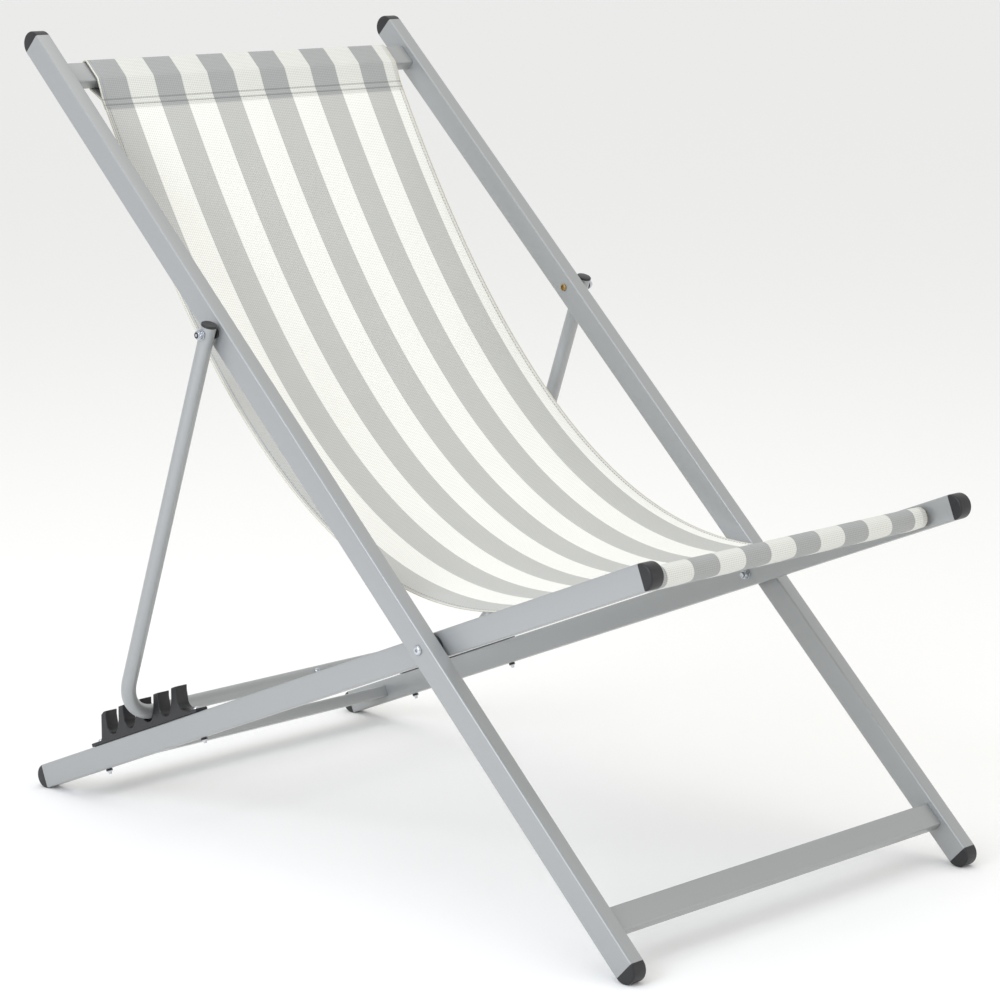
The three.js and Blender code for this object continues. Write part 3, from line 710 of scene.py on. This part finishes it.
def rack_outline(side, low, high):
    """Once round the rack: up its rear end, over each tooth and down round each notch, then
    along the front flange and back underneath."""
    top = high[2]

    def under_top(back):
        return (top - resting[2] - back * tilt_sin) / tilt_cos

    flange = low[2] + RACK_FLANGE
    rear_wall = NOTCH_HALF + REAR_TOOTH
    root_up = (flange - resting[2] - rear_wall * tilt_sin) / tilt_cos
    root = from_notch(1, rear_wall, root_up)
    lift = np.linspace(0, 1, 7)[:, None]
    fillet = (
        (1 - lift) ** 2 * (root + (RACK_FLANGE, 0))
        + 2 * lift * (1 - lift) * root
        + lift**2 * from_notch(1, rear_wall, root_up + RACK_FLANGE)
    )
    tooth = NOTCH_HALF + REAR_TOOTH / 2
    parts = [
        [(high[1], low[2]), (high[1], flange)],
        fillet,
        [from_notch(1, rear_wall, under_top(rear_wall) - TOOTH_CHAMFER)],
        [from_notch(1, tooth, under_top(tooth))],
    ]
    for index in range(1, NOTCH_COUNT + 2):
        last = index > NOTCH_COUNT
        sweep = math.pi / 2 if last else math.pi
        bottom = from_notch(index, 0, -NOTCH_DROP)
        parts += [
            [from_notch(index, NOTCH_HALF, under_top(NOTCH_HALF))],
            [from_notch(index, NOTCH_HALF, NOTCH_FLARE)],
            arc(bottom, NOTCH_RADIUS, seat_tilt, seat_tilt - sweep, 7 if last else 14),
        ]
        if not last:
            parts += [
                [from_notch(index, -NOTCH_HALF, NOTCH_FLARE)],
                [from_notch(index, -NOTCH_HALF, under_top(-NOTCH_HALF))],
            ]
    front_bolt = span(f"rack_bolt_front_{side}", seat_axes)[1][1]
    parts += [[(front_bolt + FLANGE_PAST_BOLT, flange), (low[1], flange), (low[1], low[2])]]
    return np.concatenate([np.asarray(part).reshape(-1, 2) for part in parts])


for side in SIDES:
    node = f"notch_rack_{side}"
    low, high = span(node, seat_axes)
    outline = rack_outline(side, low, high)
    rings = np.empty((2, len(outline), 3))
    rings[:, :, 0] = np.array([low[0], high[0]])[:, None]
    rings[:, :, 1:] = outline
    rack = add_shells(f"{node}_moulding", [placed(rings, seat_axes)], plastic)
    rounding = rack.modifiers.new("moulded_edges", "BEVEL")
    rounding.width, rounding.segments = RACK_ROUND, 2
    rounding.limit_method, rounding.angle_limit = "ANGLE", math.radians(RACK_ROUND_FROM)
    fit(rack, "seat_frame", "black_plastic", node)

    for end in ("rear", "front"):
        bolt_low, bolt_high = span(f"rack_bolt_{end}_{side}", seat_axes)
        middle = (bolt_low + bolt_high) / 2
        start = placed((middle[0], middle[1], bolt_high[2]), seat_axes)
        radius = (bolt_high[0] - bolt_low[0]) / 2
        rows = socket_screw(RACK_HEAD, radius, RACK_SHANK, bolt_high[2] - bolt_low[2])
        shell = turned(rows, start, -seat_axes[:, 2])
        screw = add_shells(f"rack_screw_{end}_{side}", [shell], zinc)
        fit(screw, "seat_frame", "zinc", f"rack_bolt_{end}_{side}")

        nut_low, nut_high = span(f"rack_nut_{end}_{side}", seat_axes)
        start = placed((middle[0], middle[1], nut_high[2]), seat_axes)
        rows = lock_nut(nut_high[2] - nut_low[2], RACK_NUT_FLATS, RACK_COLLAR)
        name = f"rack_lock_nut_{end}_{side}"
        # the nut's rings by the rail are painted black: shade under the rail
        nut = add_nut(name, rows, start, -seat_axes[:, 2], RACK_NUT_SHADED_ROWS)
        fit(nut, "seat_frame", "zinc", f"rack_nut_{end}_{side}")


# ---- Sling ------------------------------------------------------------------
# One length of woven PVC-coated polyester, off-white with grey stripes 42 mm wide. Each
# end is folded back round a crossbar and sewn down in a sleeve; it hangs between them.
CLOTH = 1.2 * MM
STRIPE = 42.0 * MM
FIRST_EDGE = -199.5 * MM  # right edge of the leftmost stripe, which is grey
WHITE_HEX, GREY_HEX = "F1F1EB", "BFC0BC"
# darker copies of the stripe colours where two layers lie together: painted shade, as less light
# comes through
DOUBLED_WHITE_SHADED_HEX, DOUBLED_GREY_SHADED_HEX = "D9DAD4", "A2A4A3"
EDGE_HEX = "E4E0D0"
YARN_ACROSS, YARN_ALONG = 2.8 * MM, 2.2 * MM  # pitch of the weave, both ways
YARN_POWER = 0.7  # under 1 flattens the top of a yarn
CROSS_SOFT = 0.35  # how gradually one yarn goes under the other
HEM_STITCH, SEAM_STITCH = 0.5 * MM, 0.8 * MM  # half the width drawn in by the thread
HEM_PULL = 0.45  # beside the seams' 1
# how much painted shade darkens a pulled line, and how deep the bump sinks it
PULL_PAINTED_SHADE, PULL_DEPTH = 0.3, 0.8
SOIL, SOIL_SHADE = 60 * MM, (0.965, 1.02)
# painted shade between the yarns and painted highlight on their crests
WEAVE_SHADE_AND_HIGHLIGHT = (0.62, 1.17)
WEAVE_BUMP = (0.6, 0.45 * MM)  # strength and depth
VINYL_ROUGH, VINYL_IOR = 0.62, 1.53
SELVEDGE = 1.7 * MM
HEM = 6.0 * MM  # side hem's stitches, from the edge

BAR_LOOSE = 2.3 * MM  # from a bar's faces to the middle of the cloth round it
TOP_PULL, TOP_TURN = 142.5 * MM, 16.3  # curve's handle at the top bar, and degrees
FRONT_PULL, FRONT_TURN = 568.0 * MM, 8.4
START_BELOW, END_BEHIND = 1.0 * MM, 4.0 * MM
FRONT_SLEEVE = (39.6 * MM, 23.1 * MM, 10.8 * MM)  # middle of the cloth: width, height, corner
TOP_SEAMS = (39.0 * MM, 46.0 * MM)  # lines of stitches, down the curve from its start
TOP_HEM = 51.0 * MM
FRONT_SEAM, FRONT_HEM = 25.0 * MM, 31.0 * MM  # back from the curve's end
LAYER = 1.35 * MM  # between the middles of two layers sewn together
CLOTH_STEP = 2.6 * MM
CLOTH_COLUMNS = 57
HANG_STEPS = 480
TO_SITTER = (-0.4, 1.0)  # in Y and Z
ROW_BEHIND = 2.0 * MM  # row of stitches, behind the front seam
BELLY = 3.0 * MM  # how far the middle of the width sags past the edges

top_bar = (centre("top_crossbar") - pivot) @ back_axes
front_bar = (centre("sling_front_bar") - pivot) @ seat_axes
top_low, top_high = span("top_crossbar", back_axes)
sling_low, sling_high = (np.array(corner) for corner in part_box("sling"))
sling_width = sling_high[0] - sling_low[0]


def on_side(points, axes):
    """(along, across) in a rail's axes to (y, z) in the row frame."""
    return np.asarray(points) @ axes[1:, 1:].T + pivot[1:]


def leave_corner(middle, radius, target, turn):
    """Angle on a circle at which a straight line to target is tangent to it; turn is +1 or
    -1 for the side on which the line passes."""
    away = np.asarray(target) - middle
    return math.atan2(away[1], away[0]) + turn * math.acos(radius / np.linalg.norm(away))


def hanging_curve():
    """Cubic Bezier from the top bar's front face to the top of the front bar's sleeve."""
    front_height = FRONT_SLEEVE[1] / 2
    bar_half = (top_high[2] - top_low[2]) / 2
    start = on_side((top_bar[1] - START_BELOW, bar_half + BAR_LOOSE), back_axes)
    stop = on_side((front_bar[1] + END_BEHIND, front_height), seat_axes)
    back_tilt = math.atan2(back_axes[2, 1], back_axes[1, 1])
    leave = back_tilt + math.pi + math.radians(TOP_TURN)
    meet = -seat_tilt - math.radians(FRONT_TURN)
    handles = [
        start,
        start + TOP_PULL * np.array([math.cos(leave), math.sin(leave)]),
        stop + FRONT_PULL * np.array([math.cos(meet), math.sin(meet)]),
        stop,
    ]
    t = np.linspace(0, 1, HANG_STEPS + 1)[:, None]
    weights = [(1 - t) ** 3, 3 * t * (1 - t) ** 2, 3 * t**2 * (1 - t), t**3]
    return sum(weight * handle for weight, handle in zip(weights, handles))


def lengths(path):
    """Length along a path to each of its points."""
    steps = np.linalg.norm(np.diff(path, axis=0), axis=1)
    return np.concatenate([[0], np.cumsum(steps)])


def at_length(path, where):
    """Points of a path at these lengths along it."""
    run = lengths(path)
    return np.stack([np.interp(where, run, path[:, axis]) for axis in (0, 1)], -1)


def normals(path):
    """Unit normals of a path that runs from the head to the knees; they face the sitter."""
    heading = np.gradient(path, axis=0)
    heading /= np.linalg.norm(heading, axis=1)[:, None]
    return np.stack([heading[:, 1], -heading[:, 0]], 1)


hang = hanging_curve()
hang_length = lengths(hang)[-1]
sewn = np.searchsorted(lengths(hang), TOP_SEAMS[0])
face_sign = -1 if normals(hang)[HANG_STEPS // 2] @ TO_SITTER < 0 else 1
facing = face_sign * normals(hang)
inner_layer = hang - LAYER * facing


def cloth_path():
    """The cloth from end to end: up behind the top seam, round the top bar by its corner
    arcs and straight to the seam again, down the hanging curve, round the front bar by the
    sleeve's corner arcs and back up to the front seam."""
    half = (top_high - top_low) / 2 + BAR_LOOSE
    corner = TUBE_CORNER + BAR_LOOSE
    low_corner = np.array([top_bar[1] - half[1] + corner, corner - half[2]])
    high_back = np.array([top_bar[1] + half[1] - corner, corner - half[2]])
    high_front = np.array([top_bar[1] + half[1] - corner, half[2] - corner])
    hem = at_length(inner_layer, np.linspace(TOP_HEM, TOP_SEAMS[0], 6))
    seam = (hem[-1] - pivot[1:]) @ back_axes[1:, 1:]
    leave = leave_corner(low_corner, corner, seam, 1)
    if leave > 0:
        leave -= 2 * math.pi
    quarter = math.pi / 2
    low_front = low_corner * (1, -1)
    to_seam = (hang[sewn] - pivot[1:]) @ back_axes[1:, 1:]
    drop = leave_corner(low_front, corner, to_seam, -1) % (2 * math.pi)
    top = [
        hem,
        on_side(arc(low_corner, corner, leave, -quarter, 4), back_axes),
        on_side(arc(high_back, corner, -quarter, 0, 5), back_axes),
        on_side(arc(high_front, corner, 0, quarter, 5), back_axes),
        on_side(arc(low_front, corner, quarter, drop, 3), back_axes),
    ]
    width, height, bend = FRONT_SLEEVE
    fore = front_bar[1] - width / 2 + bend
    aft = np.array([front_bar[1] + width / 2 - bend, bend - height / 2])
    tail = at_length(inner_layer, hang_length - np.linspace(FRONT_SEAM, FRONT_HEM, 4))
    seam = (tail[0] - pivot[1:]) @ seat_axes[1:, 1:]
    meet = leave_corner(aft, bend, seam, -1)
    if meet < -quarter:
        meet += 2 * math.pi
    front = [
        on_side(arc((fore, height / 2 - bend), bend, quarter, 2 * quarter, 8), seat_axes),
        on_side(arc((fore, bend - height / 2), bend, 2 * quarter, 3 * quarter, 8), seat_axes),
        on_side(arc(aft, bend, -quarter, meet, 6), seat_axes),
        tail,
    ]
    path = np.concatenate([*top, hang[sewn:], *front])
    before_seam = lengths(np.concatenate([*top, hang[sewn : sewn + 1]]))[-1]
    return path, before_seam - lengths(hang)[sewn]


path, hang_start = cloth_path()
cloth_length = lengths(path)[-1]
run = np.linspace(0, cloth_length, int(cloth_length / CLOTH_STEP) + 1)
path = at_length(path, run)
across = np.linspace(-sling_width / 2, sling_width / 2, CLOTH_COLUMNS)
hung = np.clip((run - hang_start) / hang_length, 0, 1)
belly = BELLY * np.sin(math.pi * hung)[:, None] ** 2 * (1 - (2 * across / sling_width) ** 2)
outward = normals(path) * face_sign
cloth = np.empty((len(run), CLOTH_COLUMNS, 3))
cloth[:, :, 0] = across
cloth[:, :, 1:] = path[:, None] - belly[:, :, None] * outward[:, None]

corner = np.arange(len(run) - 1)[:, None] * CLOTH_COLUMNS + np.arange(CLOTH_COLUMNS - 1)
below = corner + CLOTH_COLUMNS
quads = np.stack([corner, corner + 1, below + 1, below], -1)
doubled = (run < hang_start + TOP_HEM) | (run > hang_start + hang_length - FRONT_HEM)


def woven_vinyl():
    """Polyester yarn coated with PVC in a plain weave: matt and ribbed, with painted shade
    between the yarns and painted highlight on their crests. Where two layers lie together
    the colour is darker: painted shade, as less light comes through."""
    finish, tree = new_finish("striped_woven_vinyl")

    def math_node(operation, first, second=0.0):
        inputs = {0: first, 1: second}
        return add_node(tree, "ShaderNodeMath", inputs, operation=operation).outputs[0]

    def mixed(factor, first, second, blend="MIX"):
        mix = add_node(tree, "ShaderNodeMix", {0: factor}, data_type="RGBA", blend_type=blend)
        for socket, value in ((mix.inputs[6], first), (mix.inputs[7], second)):
            if isinstance(value, bpy.types.NodeSocket):
                tree.links.new(value, socket)
            else:
                socket.default_value = value
        return mix.outputs[2]

    flat = add_node(tree, "ShaderNodeUVMap", uv_map="flat_cut").outputs[0]
    parts = add_node(tree, "ShaderNodeSeparateXYZ", {0: flat})
    over, down = parts.outputs[0], parts.outputs[1]

    # yarns: each crosses over and under the next, half a step out of turn
    warp_turn = math_node("MULTIPLY", over, math.pi / YARN_ACROSS)
    weft_turn = math_node("MULTIPLY", down, math.pi / YARN_ALONG)
    warp = math_node("POWER", math_node("ABSOLUTE", math_node("SINE", warp_turn)), YARN_POWER)
    weft = math_node("POWER", math_node("ABSOLUTE", math_node("SINE", weft_turn)), YARN_POWER)
    crossing = math_node("MULTIPLY", math_node("SINE", warp_turn), math_node("SINE", weft_turn))
    over_under = add_node(
        tree,
        "ShaderNodeMapRange",
        {"Value": crossing, "From Min": -CROSS_SOFT, "From Max": CROSS_SOFT},
    ).outputs["Result"]
    yarn_up = math_node("MULTIPLY", warp, over_under)
    pick_up = math_node("MULTIPLY", weft, math_node("SUBTRACT", 1.0, over_under))
    weave = math_node("ADD", yarn_up, pick_up)

    # stripes: two widths make one repeat, and the counting starts at the left edge
    offset = FIRST_EDGE + sling_width / 2
    count = math_node("DIVIDE", math_node("SUBTRACT", over, offset), 2 * STRIPE)
    grey = math_node("GREATER_THAN", math_node("FRACT", math_node("ADD", count, 1.0)), 0.5)
    layers = add_node(tree, "ShaderNodeAttribute", attribute_name="doubled").outputs["Fac"]
    # doubled cloth takes the darker copies: painted shade
    white_yarn = mixed(layers, linear(WHITE_HEX), linear(DOUBLED_WHITE_SHADED_HEX))
    grey_yarn = mixed(layers, linear(GREY_HEX), linear(DOUBLED_GREY_SHADED_HEX))
    yarn = mixed(grey, white_yarn, grey_yarn)

    # cut edges: cream, where the bare polyester shows
    from_middle = math_node("ABSOLUTE", math_node("SUBTRACT", over, sling_width / 2))
    at_edge = math_node("GREATER_THAN", from_middle, sling_width / 2 - SELVEDGE)
    yarn = mixed(at_edge, yarn, linear(EDGE_HEX))

    # seams pull the cloth in along a line: the bump sinks it and painted shade darkens it
    hem_line = add_node(
        tree,
        "ShaderNodeMath",
        {0: from_middle, 1: sling_width / 2 - HEM, 2: HEM_STITCH},
        operation="COMPARE",
    ).outputs[0]
    pulled = math_node("MULTIPLY", hem_line, HEM_PULL)
    seams = [hang_start + seam for seam in TOP_SEAMS]
    seams.append(hang_start + hang_length - FRONT_SEAM - ROW_BEHIND)
    for seam in seams:
        line = add_node(
            tree, "ShaderNodeMath", {0: down, 1: seam, 2: SEAM_STITCH}, operation="COMPARE"
        ).outputs[0]
        pulled = math_node("MAXIMUM", pulled, line)

    patchy = between(tree, noise(tree, flat, SOIL, 4), SOIL_SHADE)
    # from the weave's height: painted shade between the yarns, painted highlight on their crests
    weave_shade_and_highlight = between(tree, weave, WEAVE_SHADE_AND_HIGHLIGHT)
    seam_painted_shade = math_node("SUBTRACT", 1.0, math_node("MULTIPLY", pulled, PULL_PAINTED_SHADE))
    shade = math_node("MULTIPLY", math_node("MULTIPLY", patchy, weave_shade_and_highlight), seam_painted_shade)
    grey_shade = add_node(tree, "ShaderNodeCombineColor", {0: shade, 1: shade, 2: shade})
    height = math_node("SUBTRACT", weave, math_node("MULTIPLY", pulled, PULL_DEPTH))
    surface(
        tree,
        Base_Color=mixed(1.0, yarn, grey_shade.outputs[0], "MULTIPLY"),
        Roughness=VINYL_ROUGH,
        IOR=VINYL_IOR,
        Normal=raised(tree, height, *WEAVE_BUMP),
    )
    return finish


vinyl = woven_vinyl()
sling = add_mesh(
    "sling_cloth",
    cloth.reshape(-1, 3),
    quads.reshape(-1, 4).tolist(),
    vinyl,
    smooth=180,
    outward=False,
)
flat_cut = sling.data.uv_layers.new(name="flat_cut")
flat_places = np.stack(np.meshgrid(across + sling_width / 2, run), -1).reshape(-1, 2)
loop_points = np.empty(len(sling.data.loops), np.int32)
sling.data.loops.foreach_get("vertex_index", loop_points)
flat_cut.data.foreach_set("uv", flat_places[loop_points].astype(np.float32).ravel())
layer_count = sling.data.attributes.new("doubled", "FLOAT", "POINT")
layer_count.data.foreach_set("value", np.repeat(doubled, CLOTH_COLUMNS).astype(np.float32))
thickness = sling.modifiers.new("cloth_thickness", "SOLIDIFY")
thickness.thickness, thickness.offset = CLOTH, 0.0
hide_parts("sling")


# ---- Sling stitches ---------------------------------------------------------
# Grey polyester thread, lockstitched: two rows under the top bar, one behind the front
# bar, and one down each side hem. Each stitch is a short bead half sunk in the cloth.
THREAD_HEX = "8C8D8A"
STITCH, STITCH_PITCH = 3.1 * MM, 4.4 * MM
THREAD = 0.36 * MM
BEAD_RINGS, BEAD_SIDES = 5, 6
BEAD_END = 0.12  # radians; a stitch's first ring is this far round from its tip
THREAD_TWIST = 0.8 * MM
THREAD_ROUGH = 0.7
THREAD_BUMP = (1.0, 0.05 * MM)  # strength and depth


def sewing_thread():
    """Bonded polyester thread: matt and twisted, too fine for more than a soft sheen."""
    finish, tree = new_finish("grey_polyester_thread")
    place = add_node(tree, "ShaderNodeTexCoord").outputs["Object"]
    surface(
        tree,
        Base_Color=linear(THREAD_HEX),
        Roughness=THREAD_ROUGH,
        Normal=raised(tree, noise(tree, place, THREAD_TWIST), *THREAD_BUMP),
    )
    return finish


def stitches(name, middles, ways, ups):
    """One ellipsoid for each middle, long in its way and standing on the cloth along up;
    rings are spaced by the cosine so that both ends close."""
    ring = np.linspace(BEAD_END, math.pi - BEAD_END, BEAD_RINGS)
    angle = np.linspace(0, 2 * math.pi, BEAD_SIDES, endpoint=False)
    sides = np.cross(ways, ups)
    length = -np.cos(ring)[None, :, None, None] * STITCH / 2 * ways[:, None, None]
    girth = THREAD * np.sin(ring)[None, :, None, None]
    round_it = (
        np.cos(angle)[None, None, :, None] * sides[:, None, None]
        + np.sin(angle)[None, None, :, None] * ups[:, None, None]
    )
    beads = middles[:, None, None] + length + girth * round_it
    return add_shells(name, list(beads), thread, smooth=60)


def sewn_across(down, layers_under):
    """Middles, ways and ups of a row of stitches right across, seen from both faces."""
    count = int((sling_width - 2 * HEM) / STITCH_PITCH)
    x = (np.arange(count) - (count - 1) / 2) * STITCH_PITCH
    index = np.abs(lengths(hang) - down).argmin()
    middles, ups = [], []
    for lift, up in ((CLOTH / 2, facing[index]), (CLOTH / 2 + layers_under, -facing[index])):
        spot = hang[index] + lift * up
        middles.append(np.column_stack([x, np.tile(spot, (count, 1))]))
        ups.append(np.tile((0, *up), (count, 1)))
    middles, ups = np.concatenate(middles), np.concatenate(ups)
    ways = np.tile((1.0, 0, 0), (len(middles), 1))
    return middles, ways, ups


thread = sewing_thread()
top_rows = [sewn_across(seam, LAYER) for seam in TOP_SEAMS]
top_thread = stitches("top_seam_thread", *(np.concatenate(part) for part in zip(*top_rows)))
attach(top_thread, "back_frame")
front_row = sewn_across(hang_length - FRONT_SEAM - ROW_BEHIND, LAYER)
front_thread = stitches("front_seam_thread", *front_row)
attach(front_thread, "seat_frame")

hem_run = np.arange(TOP_HEM, hang_length - FRONT_HEM, STITCH_PITCH)
hem_spots = at_length(hang, hem_run)
hem_ups = np.stack([np.interp(hem_run, lengths(hang), facing[:, axis]) for axis in (0, 1)], 1)
hem_ways = np.stack([-hem_ups[:, 1], hem_ups[:, 0]], 1)
hem_parts = []
for sign in SIDES.values():
    for face in (1, -1):
        spots = hem_spots + face * CLOTH / 2 * hem_ups
        x = np.full(len(spots), sign * (sling_width / 2 - HEM))
        zero = np.zeros(len(spots))
        hem_parts.append(
            (
                np.column_stack([x, spots]),
                np.column_stack([zero, hem_ways]),
                np.column_stack([zero, face * hem_ups]),
            )
        )
hem_thread = stitches("side_hem_thread", *(np.concatenate(part) for part in zip(*hem_parts)))

# The cloth and the side hem's stitches are baked where they stand, in the row frame.
for piece in (sling, hem_thread):
    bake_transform(piece)
